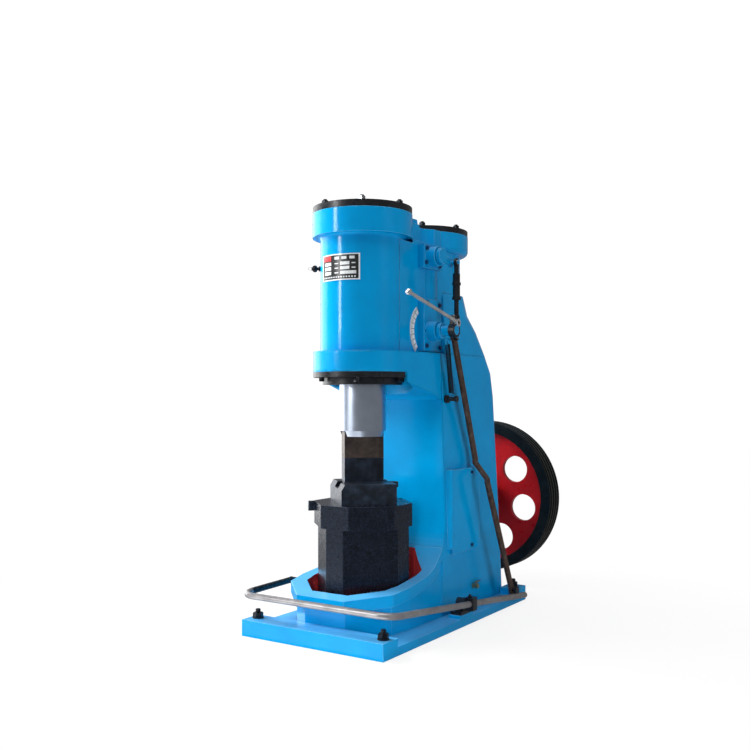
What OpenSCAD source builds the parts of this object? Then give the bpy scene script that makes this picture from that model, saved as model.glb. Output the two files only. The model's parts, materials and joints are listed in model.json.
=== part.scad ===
// Self-contained pneumatic forging hammer: fixed frame and anvil, falling ram, treadle gear and drive pulley.
// Millimetres. +Z up, -Y to the front, +X to the side with the control gear.
// The origin lies on the floor, on the ram's axis.

/* [Base] */
// Width of the base plate, left to right
base_w = 614; // [596:2:640]
// Front edge of the base plate, in front of the ram axis
base_front = 332; // [328:2:350]
// Rear edge of the base plate, behind the ram axis
base_rear = 797; // [797:1:840]
// Thickness of the flange
flange_t = 31; // [26:1:36]
// Height of the front strip and of the bolt pads
pad_h = 60; // [54:1:62]
// Anchor holes in from the sides of the base plate
anchor_in = 33; // [29:1:37]
// Anchor hole spacing, front to rear
anchor_dy = 1024; // [1010:2:1030]
// Anchor hole diameter
anchor_d = 26; // [22:1:30]

/* [Anvil pit] */
// Half width of the pit over its walls
pit_half = 223; // [220:1:225]
// Thickness of the pit's side walls
wall_t = 35; // [30:1:38]
// Front face of the pit wall, in front of the ram axis
pit_front = 240; // [236:1:246]
// How far the rim band stands out in front
rim_out = 30; // [20:1:32]
// How far the rim band stands out at the sides
rim_side = 17; // [12:1:20]
// Height of the rim band
rim_band = 43; // [34:1:50]
// Height of the rim at its front edge
rim_front_z = 163; // [150:1:175]

/* [Frame] */
// Column front face, behind the ram axis
throat = 236; // [230:1:246]
// Half width of the column at its foot
foot_half = 225; // [222:1:226]
// Half width of the column at the door
door_half = 230; // [228:1:232]
// Half width of the column below the head
neck_half = 210; // [206:1:212]
// Radius of the sweep from rim to column
sweep_r = 200; // [170:5:210]
// Radius under the arch
arch_r = 60; // [50:2:80]
// Centre height of the arch radius
arch_z = 821; // [800:1:830]
// Top of the head's lower flange
head_z = 1040; // [1036:1:1044]
// Half width of the valve block
block_half = 160; // [159:1:165]

/* [Cylinders] */
// Barrel radius of the ram cylinder
barrel_r = 158; // [150:1:158]
// Flange radius of the ram cylinder
flange_r = 188; // [180:1:190]
// Underside of the ram cylinder's top flange
top_flange_z = 1465; // [1460:1:1480]
// Thickness of the ram cylinder's top flange
ram_flange_t = 88; // [80:1:96]
// Underside of the pump flange below that of the ram flange
flange_step = 15; // [10:1:20]
// Thickness of the pump cylinder's top flange
pump_flange_t = 80; // [74:1:84]
// Pump cylinder axis, behind the ram axis
pump_y = 445; // [440:1:455]
// Barrel radius of the pump cylinder
pump_r = 155; // [148:1:155]
// Cover thickness
cover_t = 25; // [18:1:30]
// Lower flange and gland ring radius
ring_r = 185; // [180:1:186]
// Underside of the gland
gland_z = 917; // [915:1:925]

/* [Ram and dies] */
// Ram diameter
ram_d = 174; // [170:1:176]
// Stroke of the ram
stroke = 260; // [200:10:260]
// Die face length
die_l = 148; // [140:1:150]
// Die face width
die_w = 65; // [55:1:68]
// Face of the lower die above the floor
die_z = 643; // [635:1:650]
// Height of either die
die_h = 90; // [84:1:92]
// Anvil across its flats
anvil_af = 343; // [330:1:346]
// Top of the anvil
anvil_z = 477; // [470:1:482]

/* [Drive] */
// Pulley diameter
pulley_d = 692; // [640:4:700]
// Pulley width
pulley_w = 105; // [90:1:110]
// Height of the crankshaft
crank_z = 412; // [400:1:420]
// Crankshaft diameter
crank_d = 90; // [70:2:96]
// Front face of the pulley, behind the ram axis
pulley_y = 975; // [965:1:985]
// Lightening holes in the web
web_holes = 7; // [5:1:7]

/* [Controls] */
// Upper valve below the ram cylinder's top flange
valve_drop = 59; // [56:1:62]
// Upper valve above the lower one
valve_gap = 284; // [280:1:288]
// Valve axis behind the ram axis
valve_y = 188; // [184:1:192]
// Valve arm length
arm_l = 72; // [68:1:76]
// Arm dip below level at rest, in degrees
arm_dip = 14.25; // [12:0.25:15]
// Treadle pipe diameter
pipe_d = 24; // [20:1:26]
// Treadle pipe centres out from the sides of the base plate
treadle_out = 19; // [19:1:26]
// Treadle pivot behind the ram axis
pivot_y = 256; // [250:1:262]
// Treadle pivot height
pivot_z = 84; // [82:1:88]
// Treadle front bar in front of the ram axis
treadle_front = 314; // [312:1:320]
// Treadle fall toward the rear, in degrees
treadle_fall = 6.2; // [6:0.1:6.8]

/* [Hidden] */
eps = 0.5;
run_fit = 0.06;
casting_gap = 0.5;
rim_slope = 0.124;
rim_outer_y = -(pit_front + rim_out);
ram_top_z = top_flange_z + ram_flange_t;
pump_flange_z = top_flange_z - flange_step;
pump_top_z = pump_flange_z + pump_flange_t;
side_x = base_w / 2;
anchor_x = side_x - anchor_in;
treadle_half = side_x + treadle_out;
sweep_y = throat - sweep_r;
sweep_z = rim_front_z + rim_slope * (sweep_y - rim_outer_y) + sweep_r * sqrt(1 + rim_slope * rim_slope);
sweep_tan_y = sweep_y + sweep_r * sin(atan(rim_slope));
sweep_tan_z = sweep_z - sweep_r * cos(atan(rim_slope));
pit_back = 205;
arch_y = throat - arch_r;
arch_slope = 15;
door_taper_z = 300;
neck_z = 870;
flange_fillet = 12;
pump_round = 22;
bridge_r = 23;
stud_circle = flange_r - 30;
stud_out = 20;
anvil_gap = 6.7;
anvil_leg = anvil_af - sqrt(2) * (pit_half - wall_t - anvil_gap);
anvil_step = 17;
cover_up = 123;
cover_small = 44;
door_face = door_half + 12;
door_y = 243;
arch_tan_y = arch_y - arch_r * sin(-arch_slope);
arch_tan_z = arch_z + arch_r * cos(arch_slope);
ring_z = 943;
head_under_z = 963;
through = ram_top_z - head_z + 100;
shoulder_top_z = top_flange_z - 179;
shoulder_low_z = head_z + 0.4 * (shoulder_top_z - head_z);
shoulder_mid_z = head_z + 0.667 * (shoulder_top_z - head_z);
ram_r = ram_d / 2;
ram_low_z = die_z + 1 + 80;
ram_len_top = ram_top_z - 10 - stroke;
valve_top_z = top_flange_z - valve_drop;
valve_z = valve_top_z - valve_gap;
spring_z = valve_z - 259;
joint_y = valve_y + arm_l * cos(arm_dip);
joint_dz = -arm_l * sin(arm_dip);
pulley_r = pulley_d / 2;
pipe_r = pipe_d / 2;
bend_r = 56;
anchor_mid_y = -280 + anchor_dy / 2;
bar_z = pivot_z + (pivot_y + treadle_front) * tan(treadle_fall);
lug_dy = 2 * arm_l * sin(arm_dip) / sin(2 * arm_dip / 5.7);
lug_y = pivot_y + lug_dy;
lug_z = 64;
paint = "#0a86c8";
black = "#1b1d20";
steel = "#9aa2aa";
$fn = 64;

// Straight bar of a width and thickness between two points of one plane of constant x.
module flat_bar(x0, x1, a, b, w) {
  dy = b[0] - a[0];
  dz = b[1] - a[1];
  translate([x0, a[0], a[1]])
    rotate([atan2(dz, dy), 0, 0])
      translate([0, 0, -w / 2])
        cube([x1 - x0, norm([dy, dz]), w]);
}

// Disc along X from x0 to x1.
module x_disc(x0, x1, y, z, r) {
  translate([x0, y, z])
    rotate([0, 90, 0])
      cylinder(h = x1 - x0, r = r);
}

// Disc along Y from y0 to y1.
module y_disc(y0, y1, x, z, r) {
  translate([x, y1, z])
    rotate([90, 0, 0])
      cylinder(h = y1 - y0, r = r);
}

// Upright ring.
module ring(z0, z1, ro, ri) {
  difference() {
    translate([0, 0, z0])
      cylinder(h = z1 - z0, r = ro);
    translate([0, 0, z0 - 1])
      cylinder(h = z1 - z0 + 2, r = ri);
  }
}

// Extrudes a profile drawn in (y, z) symmetrically about the centre plane.
module side_extrude(half) {
  rotate([90, 0, 90])
    translate([0, 0, -half])
      linear_extrude(height = 2 * half)
        children();
}

// Round bar between two points.
module rod_between(a, b, r) {
  d = b - a;
  translate(a)
    rotate([0, acos(d[2] / norm(d)), atan2(d[1], d[0])])
      cylinder(h = norm(d), r = r);
}

// Thin rounded slab for the tapered castings.
module slab(half, y0, y1, z, r) {
  translate([0, 0, z])
    linear_extrude(height = 1)
      hull() {
        for (x = [-half + r, half - r])
          translate([x, y1 - r])
            circle(r = r);
        for (x = [-half, half - 1])
          translate([x, y0])
            square([1, 1]);
      }
}

// ---- Base ----
module pad(x0, x1, y0, y1) {
  for (s = [0, 1])
    mirror([s, 0, 0])
      translate([x0, y0, flange_t - eps])
        cube([x1 - x0, y1 - y0, pad_h - flange_t + eps]);
}

module base_plate() {
  color(paint)
    difference() {
      union() {
        translate([-side_x, -base_front, 0])
          cube([base_w, base_front + base_rear, flange_t]);
        translate([-side_x, -base_front, flange_t - eps])
          cube([base_w, base_front - pit_front, pad_h - flange_t + eps]);
        pad(side_x - 75, side_x, 702, base_rear);
        for (s = [0, 1])
          mirror([s, 0, 0])
            translate([side_x - 52, pivot_y - 50, flange_t - eps])
              cube([52, 100, 14 + eps]);
      }
      for (x = [-1, 1])
        for (y = [-1, 1])
          translate([x * anchor_x, anchor_mid_y + y * anchor_dy / 2, -1])
            cylinder(h = pad_h + 2, r = anchor_d / 2);
    }
}

// ---- Pit ----
module pit_outline(o, side) {
  x = pit_half + side;
  x_back = pit_half + 0.3 * side;
  polygon([
    [-88 - o / 2, -pit_front - o],
    [88 + o / 2, -pit_front - o],
    [x - 12, -130 - o / 2],
    [x, -24 - o],
    [x_back, pit_back],
    [-x_back, pit_back],
    [-x, -24 - o],
    [-x + 12, -130 - o / 2]]);
}

module pit_opening() {
  x = pit_half - wall_t;
  polygon([
    [-79, -pit_front + 30],
    [79, -pit_front + 30],
    [x - 14, -115],
    [x, -50],
    [x, 120],
    [110, pit_back - 6],
    [-110, pit_back - 6],
    [-x, 120],
    [-x, -50],
    [-x + 14, -115]]);
}

// Space in front of the column and above the rim, in (y, z).
module throat_profile() {
  polygon([
    [-600, rim_front_z + rim_slope * (-600 - rim_outer_y)],
    [sweep_tan_y, sweep_tan_z],
    [throat, sweep_z],
    [throat, arch_z],
    [arch_tan_y, arch_tan_z],
    [arch_tan_y - 300, arch_tan_z + 300 * tan(arch_slope)],
    [-600, arch_tan_z + 300 * tan(arch_slope)]]);
  translate([sweep_y, sweep_z])
    circle(r = sweep_r);
  translate([arch_y, arch_z])
    circle(r = arch_r);
}

module pit_wall() {
  color(paint)
    difference() {
      union() {
        translate([0, 0, flange_t])
          linear_extrude(height = 320)
            pit_outline(0, 0);
        intersection() {
          translate([0, 0, 60])
            linear_extrude(height = 320)
              pit_outline(rim_out, rim_side);
          side_extrude(pit_half + rim_side)
            translate([0, -rim_band])
              difference() {
                translate([-300, 0])
                  square([pit_back + 300, 400]);
                difference() {
                  translate([-400, -200])
                    square([1000, 700]);
                  throat_profile();
                }
              }
        }
      }
      translate([0, 0, flange_t - 1])
        linear_extrude(height = 400)
          pit_opening();
      side_extrude(pit_half + rim_side + 5)
        throat_profile();
    }
}

// ---- Column, head, shoulder ----
module column() {
  color(paint)
    difference() {
      union() {
        hull() {
          slab(foot_half, pit_back, 772, flange_t, 50);
          slab(door_half, pit_back, 739, door_taper_z, 50);
        }
        hull() {
          slab(door_half, pit_back, 739, door_taper_z, 50);
          slab(neck_half, pit_back, 716, neck_z, 50);
        }
        hull() {
          slab(neck_half, pit_back, 716, neck_z, 50);
          slab(neck_half - 3, pit_back, 705, 969, 60);
        }
        hull() {
          slab(neck_half - 3, pit_back, 705, 969, 60);
          slab(neck_half - 10, pit_back, 690, head_z - 1, 90);
        }
        y_disc(600, 800, 0, crank_z, 150);
      }
      side_extrude(pit_half + rim_side + 5)
        throat_profile();
      translate([-300, 0, 700])
        cube([600, throat, 500]);
      y_disc(740, 801, 0, crank_z, crank_d / 2 + 3);
    }
}

module head() {
  color(paint)
    difference() {
      union() {
        translate([0, 0, 860])
          linear_extrude(height = head_z - 860)
            polygon([
              [-ring_r, 0],
              [ring_r, 0],
              [neck_half - 3, throat],
              [-neck_half + 3, throat]]);
        translate([0, 0, head_under_z])
          cylinder(h = head_z - head_under_z, r = ring_r);
      }
      side_extrude(300)
        throat_profile();
      translate([0, 0, 800])
        cylinder(h = head_under_z - 800, r = ring_r + 0.5);
      translate([0, 0, 900])
        cylinder(h = 200, r = ram_r + casting_gap);
    }
}

module valve_block() {
  color(paint)
    difference() {
      union() {
        side_extrude(block_half)
          polygon([
            [6, head_z],
            [274, head_z],
            [289, shoulder_low_z],
            [304, shoulder_mid_z],
            [329, shoulder_top_z - 1],
            [329, shoulder_top_z + 1],
            [pump_y - 40, shoulder_top_z + 1],
            [pump_y - 40, top_flange_z],
            [6, top_flange_z]]);
        valve_belly();
        flange_bridge();
      }
      translate([0, 0, head_z - 1])
        cylinder(h = through, r = barrel_r + casting_gap);
      translate([0, pump_y, head_z - 1])
        cylinder(h = through, r = pump_r + casting_gap);
      translate([0, 0, top_flange_z - flange_fillet - 1])
        cylinder(h = through, r = flange_r + casting_gap);
      translate([0, pump_y, pump_flange_z - casting_gap])
        cylinder(h = through, r = flange_r + casting_gap);
    }
}

// Rounded passage between the two valve covers.
module valve_belly() {
  z0 = valve_z + cover_up + casting_gap;
  translate([block_half - 52, valve_y + 47, z0])
    cylinder(h = valve_top_z - cover_small - casting_gap - z0, r = 70);
}

// Waisted bridge between the two top flanges, with a concave slope up to the ram flange.
module flange_bridge() {
  difference() {
    union() {
      translate([-150, 60, top_flange_z - eps])
        cube([300, pump_y - 120, pump_top_z - top_flange_z + eps]);
      side_extrude(132)
        difference() {
          translate([90, pump_top_z - eps])
            square([90 + bridge_r, ram_top_z - pump_top_z + eps]);
          translate([180 + bridge_r, pump_top_z + bridge_r])
            circle(r = bridge_r);
        }
    }
    for (s = [-1, 1])
      translate([s * (120 + bridge_r * 3), pump_y / 2, top_flange_z])
        cylinder(h = 200, r = bridge_r * 3);
  }
}

module crank_shoulder_body() {
  hull() {
    slab(neck_half - 10, 275, 690, head_z, 90);
    slab(190, 290, 648, shoulder_low_z, 120);
  }
  hull() {
    slab(190, 290, 648, shoulder_low_z, 120);
    slab(176, 305, 622, shoulder_mid_z, 150);
  }
  hull() {
    slab(176, 305, 622, shoulder_mid_z, 150);
    slab(block_half, 330, 602, shoulder_top_z - 1, 134);
  }
}

module crank_shoulder() {
  color(paint)
    difference() {
      crank_shoulder_body();
      translate([0, pump_y, head_z - 1])
        cylinder(h = through, r = pump_r + casting_gap);
    }
}

// ---- Cylinders ----
module ram_cylinder() {
  color(paint)
    difference() {
      rotate_extrude()
        difference() {
          union() {
            translate([0, head_z])
              square([barrel_r, ram_top_z - head_z]);
            translate([0, top_flange_z])
              square([flange_r, ram_flange_t]);
            translate([barrel_r - 1, top_flange_z - flange_fillet])
              square([flange_fillet + 1, flange_fillet + 1]);
          }
          translate([barrel_r + flange_fillet, top_flange_z - flange_fillet])
            circle(r = flange_fillet);
        }
      translate([0, 0, head_z - 1])
        cylinder(h = through, r = ram_r + casting_gap);
    }
}

module pump_cylinder() {
  color(paint)
    translate([0, pump_y, 0])
      rotate_extrude() {
        translate([0, head_z])
          square([pump_r, pump_top_z - head_z]);
        translate([0, pump_flange_z])
          square([flange_r - pump_round, pump_flange_t]);
        translate([0, pump_flange_z + pump_round])
          square([flange_r, pump_flange_t - pump_round]);
        translate([flange_r - pump_round, pump_flange_z + pump_round])
          circle(r = pump_round);
      }
}

// Ends of the cover studs, which stand through their nuts.
module stud_ends(z, phase) {
  for (i = [0:5])
    rotate([0, 0, phase + 60 * i])
      translate([stud_circle, 0, z - eps])
        cylinder(h = stud_out + eps, r = 7);
}

module ram_cover() {
  color(black)
    translate([0, 0, ram_top_z]) {
      cylinder(h = cover_t, r = flange_r - 1);
      stud_ends(cover_t, -56.5);
    }
}

module pump_cover() {
  color(black)
    translate([0, pump_y, pump_top_z]) {
      cylinder(h = cover_t - 2, r = flange_r - 1);
      stud_ends(cover_t - 2, -60);
    }
}

module gland_ring() {
  color(black)
    ring(ring_z, head_under_z, ring_r, ram_r + casting_gap);
}

module gland() {
  color(black)
    ring(gland_z, ring_z, 150, ram_r + run_fit);
}

// ---- Covers and plates ----
// Upright door on the column's leaning side, with a rolled front edge.
module side_cover(s) {
  color(paint)
    mirror([s, 0, 0])
      intersection() {
        rotate([90, 0, 0])
          translate([0, 0, -600])
            linear_extrude(height = 600)
              polygon([
                [side_at(200) + casting_gap, 200],
                [door_half + casting_gap, door_taper_z],
                [side_at(neck_z) + casting_gap, neck_z],
                [door_face + 20, neck_z],
                [door_face + 20, 200]]);
        union() {
          rotate([90, 0, 90])
            linear_extrude(height = door_face)
              rounded_square([door_y + 20, 262], [490, 588], 18);
          translate([door_face - 18, door_y + 20, 284])
            cylinder(h = 306, r = 20);
        }
      }
}

// Half width of the column's side at a height.
function side_at(z) = z < door_taper_z
  ? foot_half + (door_half - foot_half) * (z - flange_t) / (door_taper_z - flange_t)
  : door_half - (door_half - neck_half) * (z - door_taper_z) / (neck_z - door_taper_z);

module rounded_square(a, b, r) {
  translate([a[0], a[1] + r])
    square([b[0] - a[0], b[1] - a[1] - 2 * r]);
  translate([a[0], a[1]])
    square([b[0] - a[0] - r, b[1] - a[1]]);
  for (z = [a[1] + r, b[1] - r])
    translate([b[0] - r, z])
      circle(r = r);
}

module side_cover_right() {
  side_cover(0);
}

module side_cover_left() {
  side_cover(1);
}

module valve_cover(z0, z1, zc) {
  color(paint)
    difference() {
      union() {
        translate([block_half, 140, z0])
          cube([26, 132, z1 - z0]);
        x_disc(block_half, 224, valve_y, zc, 38);
      }
      x_disc(block_half + 8, 226, valve_y, zc, 18 + run_fit);
    }
}

module upper_valve_cover() {
  valve_cover(valve_top_z - cover_small, valve_top_z + cover_small, valve_top_z);
}

module lower_valve_cover() {
  valve_cover(valve_z - 77, valve_z + cover_up, valve_z);
}

module dial_plate() {
  color("white")
    intersection() {
      difference() {
        x_disc(block_half, block_half + 4, valve_y, valve_z, 110);
        x_disc(block_half - 1, block_half + 5, valve_y, valve_z, 84);
      }
      rotate([90, 0, 90])
        translate([0, 0, block_half - 1])
          linear_extrude(height = 6)
            translate([valve_y, valve_z])
              polygon([
                [0, 0],
                [-200 * cos(47), -200 * sin(47)],
                [-200, 0],
                [-200 * cos(54), 200 * sin(54)]]);
    }
}

module name_plate() {
  color("white")
    rotate([0, 0, -90 - 31])
      rotate_extrude(angle = 62)
        translate([barrel_r, top_flange_z - 171])
          square([2.5, 95]);
}

module oil_cock() {
  color(steel)
    rotate([0, 0, -90 - 56])
      translate([barrel_r, 0, top_flange_z - 112]) {
        rotate([0, 90, 0])
          cylinder(h = 34, r = 8);
        translate([22, 0, 0])
          sphere(r = 13);
        translate([22, 0, 0])
          cylinder(h = 24, r = 4);
        translate([22, 0, 22])
          rotate([0, 60, 0])
            cylinder(h = 30, r = 3);
      }
}

module drain_cock() {
  color(steel) {
    x_disc(side_at(107) + casting_gap, foot_half + 26, 461, 107, 8);
    translate([foot_half + 18, 461, 99])
      cylinder(h = 26, r = 6);
    translate([foot_half + 14, 446, 123])
      cube([8, 44, 5]);
  }
}

// ---- Anvil and dies, turned 45 degrees ----
module octagon(af, leg) {
  h = af / 2;
  polygon([
    [-h + leg, -h],
    [h - leg, -h],
    [h, -h + leg],
    [h, h - leg],
    [h - leg, h],
    [-h + leg, h],
    [-h, h - leg],
    [-h, -h + leg]]);
}

module anvil() {
  color(black)
    rotate([0, 0, 45])
      difference() {
        union() {
          translate([0, 0, flange_t])
            linear_extrude(height = anvil_z - 85 - flange_t + eps)
              octagon(anvil_af - 2 * anvil_step, anvil_leg - 2 * anvil_step);
          translate([0, 0, anvil_z - 85])
            linear_extrude(height = 85)
              octagon(anvil_af, anvil_leg);
        }
        translate([-anvil_af, 55, anvil_z - 36])
          cube([2 * anvil_af, 20, 37]);
      }
}

module die_holder() {
  color("#5a6068")
    rotate([0, 0, 45])
      difference() {
        rotate([90, 0, 0])
          translate([0, 0, -130])
            linear_extrude(height = 260)
              polygon([
                [-102.5, anvil_z],
                [102.5, anvil_z],
                [102.5, die_z - die_h],
                [-90, die_z - die_h],
                [-102.5, die_z - die_h - 22]]);
        translate([-200, -47, die_z - die_h - 20])
          cube([400, 47 + die_w / 2, 21]);
      }
}

module holder_key() {
  color(black)
    rotate([0, 0, 45])
      translate([-197, 55, anvil_z - 36])
        cube([352, 20, 36]);
}

module lower_die() {
  color(steel)
    rotate([0, 0, 45])
      translate([-die_l / 2, -die_w / 2, die_z - die_h - 20])
        cube([die_l, die_w, die_h + 20]);
}

module lower_die_key() {
  color(black)
    rotate([0, 0, 45])
      translate([-80, -47, die_z - die_h - 20])
        cube([207, 47 - die_w / 2, 22]);
}

module ram() {
  color(steel)
    difference() {
      rotate_extrude()
        polygon([
          [0, ram_low_z],
          [ram_r - 7, ram_low_z],
          [ram_r, ram_low_z + 22],
          [ram_r, ram_len_top],
          [0, ram_len_top]]);
      rotate([0, 0, 45])
        translate([-100, -45, ram_low_z - 1])
          cube([200, 45 + die_w / 2, 21]);
    }
}

module upper_die() {
  color(steel)
    rotate([0, 0, 45])
      translate([-die_l / 2, -die_w / 2, die_z + 1])
        cube([die_l, die_w, 100]);
}

module upper_die_key() {
  color(black)
    rotate([0, 0, 45])
      translate([-60, -45, ram_low_z])
        cube([120, 45 - die_w / 2, 20]);
}

// ---- Drive ----
module crank_bearing() {
  color(paint)
    difference() {
      union() {
        y_disc(800, 826, 0, crank_z, 140);
        y_disc(825, 940, 0, crank_z, 92);
      }
      y_disc(799, 941, 0, crank_z, crank_d / 2 + run_fit);
    }
}

module crankshaft() {
  color(steel)
    y_disc(745, pulley_y + pulley_w + 12, 0, crank_z, crank_d / 2);
}

module pulley_rim() {
  g = pulley_w / 4;
  color(black)
    translate([0, pulley_y + pulley_w, crank_z])
      rotate([90, 0, 0])
        rotate_extrude()
          difference() {
            translate([pulley_r - 46, 0])
              square([46, pulley_w]);
            for (i = [0:3])
              translate([pulley_r, g * (i + 0.5)])
                polygon([[1, -9.5], [1, 9.5], [-15, 5], [-15, -5]]);
          }
}

module pulley_web() {
  color("#8f1216")
    difference() {
      union() {
        y_disc(pulley_y + 32, pulley_y + 54, 0, crank_z, pulley_r - 46);
        y_disc(pulley_y + 4, pulley_y + pulley_w - 4, 0, crank_z, 78);
      }
      y_disc(pulley_y, pulley_y + pulley_w, 0, crank_z, crank_d / 2);
      for (i = [0:web_holes - 1])
        rotate_hole(38.7 - 360 / web_holes * i);
    }
}

module rotate_hole(a) {
  y_disc(pulley_y, pulley_y + pulley_w, 205 * cos(a), crank_z + 205 * sin(a), 60);
}

// ---- Treadle ----
module pivot_bracket() {
  color(black)
    difference() {
      union() {
        translate([side_x - 48, pivot_y - 44, flange_t + 14])
          cube([46, 88, 12]);
        translate([side_x - 39, pivot_y - 20, flange_t + 14])
          cube([34, 40, pivot_z - flange_t - 14]);
        x_disc(side_x - 39, side_x - 5, pivot_y, pivot_z, 20);
      }
      x_disc(side_x - 47, side_x + 3, pivot_y, pivot_z, 10 + run_fit);
    }
}

module pivot_bracket_right() {
  pivot_bracket();
}

module pivot_bracket_left() {
  mirror([1, 0, 0])
    pivot_bracket();
}

module clamp() {
  color(black)
    difference() {
      union() {
        translate([treadle_half - 16, pivot_y - 17, pivot_z - 24])
          cube([32, 34, 50]);
        x_disc(side_x - 37, treadle_half - 15, pivot_y, pivot_z, 10);
      }
      translate([treadle_half, pivot_y, pivot_z])
        children();
    }
}

module treadle_clamp_right() {
  clamp()
    rotate([-90 - treadle_fall, 0, 0])
      translate([0, 0, -60])
        cylinder(h = 120, r = pipe_r);
}

module treadle_clamp_left() {
  mirror([1, 0, 0])
    clamp()
      rotate([-90 - left_fall, 0, 0])
        translate([0, 0, -60])
          cylinder(h = 60, r = pipe_r);
}

left_knee = [-20, 151];
left_fall = atan((left_knee[1] - pivot_z) / (pivot_y - left_knee[0]));

// Pipe in its own plane: front bar along X, quarter bend, then back along Y.
module half_pipe(len, r) {
  translate([-1, 0, 0])
    rotate([0, 90, 0])
      cylinder(h = treadle_half - bend_r + 1, r = r);
  translate([treadle_half - bend_r, bend_r, 0])
    rotate([0, 0, -90])
      rotate_extrude(angle = 90)
        translate([bend_r, 0])
          circle(r = r);
  translate([treadle_half, bend_r, 0])
    rotate([-90, 0, 0])
      cylinder(h = len, r = r);
}

module treadle_bar() {
  color("silver") {
    translate([0, -treadle_front, bar_z])
      rotate([-treadle_fall, 0, 0])
        half_pipe(1010, pipe_r);
    translate([0, -treadle_front, bar_z])
      rotate([2, 0, 0])
        mirror([1, 0, 0])
          half_pipe(1, pipe_r - 0.25);
  }
}

module treadle_left_arm() {
  a = [-treadle_half, -treadle_front + (bend_r + 1.6) * cos(2), bar_z + (bend_r + 1.6) * sin(2)];
  b = [-treadle_half, left_knee[0], left_knee[1]];
  c = [-treadle_half, pivot_y, pivot_z];
  color(black) {
    rod_between(a, b, pipe_r);
    translate(b)
      sphere(r = pipe_r + 1);
    rod_between(b, c, pipe_r);
  }
}

module treadle_lug() {
  color(black)
    difference() {
      union() {
        translate([treadle_half - 5, lug_y - 16, 40])
          cube([10, 32, lug_z - 40]);
        x_disc(treadle_half - 5, treadle_half + 5, lug_y, lug_z, 16);
        x_disc(treadle_half - 31, treadle_half, lug_y, lug_z, 6);
      }
      treadle_pipe_space();
    }
}

module treadle_pipe_space() {
  translate([treadle_half, pivot_y, pivot_z])
    rotate([-90 - treadle_fall, 0, 0])
      cylinder(h = 480, r = pipe_r);
}

// ---- Link gear ----
module link_rod() {
  x0 = 244;
  x1 = 254;
  x2 = treadle_half - 27;
  top = [joint_y, valve_z + joint_dz];
  knee = [442, 613];
  low = [lug_y, lug_z];
  color("#4a3c36")
    difference() {
      union() {
        x_disc(x0 - 1, x1 + 1, top[0], top[1], 17);
        flat_bar(x0, x1, top, knee, 30);
        translate([0, 452, 0])
          rotate([90, 0, 0])
            linear_extrude(height = 30)
              polygon([
                [x0 + 0.5, 622],
                [x1 - 0.5, 622],
                [x1 - 0.5, 612],
                [x2 + 9.5, 546],
                [x2 + 9.5, 532],
                [x2 + 0.5, 532],
                [x2 + 0.5, 540],
                [x0 + 0.5, 606]]);
        flat_bar(x2, x2 + 10, [432, 540], low, 30);
        x_disc(x2 - 1, x2 + 11, low[0], low[1], 19);
      }
      x_disc(x0 - 2, x1 + 2, top[0], top[1], 8 + run_fit);
      x_disc(x2 - 2, x2 + 12, low[0], low[1], 9);
    }
}

module arm(zc) {
  jz = zc + joint_dz;
  x_disc(170, 242, valve_y, zc, 18);
  x_disc(228, 242, valve_y, zc, 30);
  flat_bar(230, 240, [valve_y, zc], [joint_y, jz], 26);
  x_disc(230, 240, joint_y, jz, 16);
  x_disc(230, 272, joint_y, jz, 8);
}

module lower_valve_arm() {
  color(paint) {
    arm(valve_z);
    x_disc(241, 300, valve_y, valve_z, 18);
  }
}

module upper_valve_arm() {
  color(paint)
    arm(valve_top_z);
}

module lever_hub() {
  color(black)
    difference() {
      union() {
        x_disc(276, 300, valve_y, valve_z, 27);
        translate([276, valve_y - 12, valve_z])
          cube([24, 24, 44]);
        x_disc(276, 306, valve_y, valve_z + 28, 8);
        translate([280, valve_y - 8, valve_z + 43])
          cube([16, 16, 14]);
      }
      x_disc(275, 301, valve_y, valve_z, 18);
    }
}

module hand_lever() {
  eye = [302, valve_y, valve_z + 28];
  tip = [302, valve_y - 356, valve_z + 110];
  d = (tip - eye) / norm(tip - eye);
  color("silver")
    difference() {
      union() {
        x_disc(300.5, 309, eye[1], eye[2], 15);
        rod_between([305, eye[1] + 12 * d[1], eye[2] + 12 * d[2]], [305, tip[1], tip[2]], 7);
        translate([305, tip[1], tip[2]])
          sphere(r = 12);
      }
      x_disc(300, 310, eye[1], eye[2], 8);
    }
}

module valve_rod() {
  z0 = valve_z + joint_dz;
  z1 = valve_top_z + joint_dz;
  color(black)
    difference() {
      union() {
        x_disc(256, 266, joint_y, z0, 16);
        x_disc(256, 266, joint_y, z1, 16);
        translate([256, joint_y - 9, z0])
          cube([10, 18, 28]);
        translate([261, joint_y, z0 + 26])
          cylinder(h = z1 - z0 - 36, r = 9);
        translate([261, joint_y, z0 + 30])
          cylinder(h = 50, r = 13);
        translate([261, joint_y, z0 + 150])
          cylinder(h = 90, r = 14);
        translate([261, joint_y, z0 + 140])
          cylinder(h = 12, r = 17);
        translate([261, joint_y, z0 + 196])
          cylinder(h = 10, r = 17);
      }
      x_disc(255, 267, joint_y, z0, 8 + run_fit);
      x_disc(255, 267, joint_y, z1, 8 + run_fit);
    }
}

module return_spring() {
  top = [236, 232, valve_z - 50];
  low = [236, 262, spring_z + 23];
  d = low - top;
  color(black) {
    rod_between(top, low, 10.5);
    rod_between([top[0], top[1], valve_z - 25.5], top + 0.05 * d, 2.5);
    rod_between(low - 0.05 * d, [low[0], low[1] + 2, spring_z + 8.5], 2.5);
  }
}

module spring_stud() {
  color(black) {
    x_disc(side_at(spring_z - 16) + 0.2, 222, 264, spring_z, 16);
    x_disc(221, 262, 264, spring_z, 8);
    x_disc(254, 262, 264, spring_z, 12);
  }
}

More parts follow.
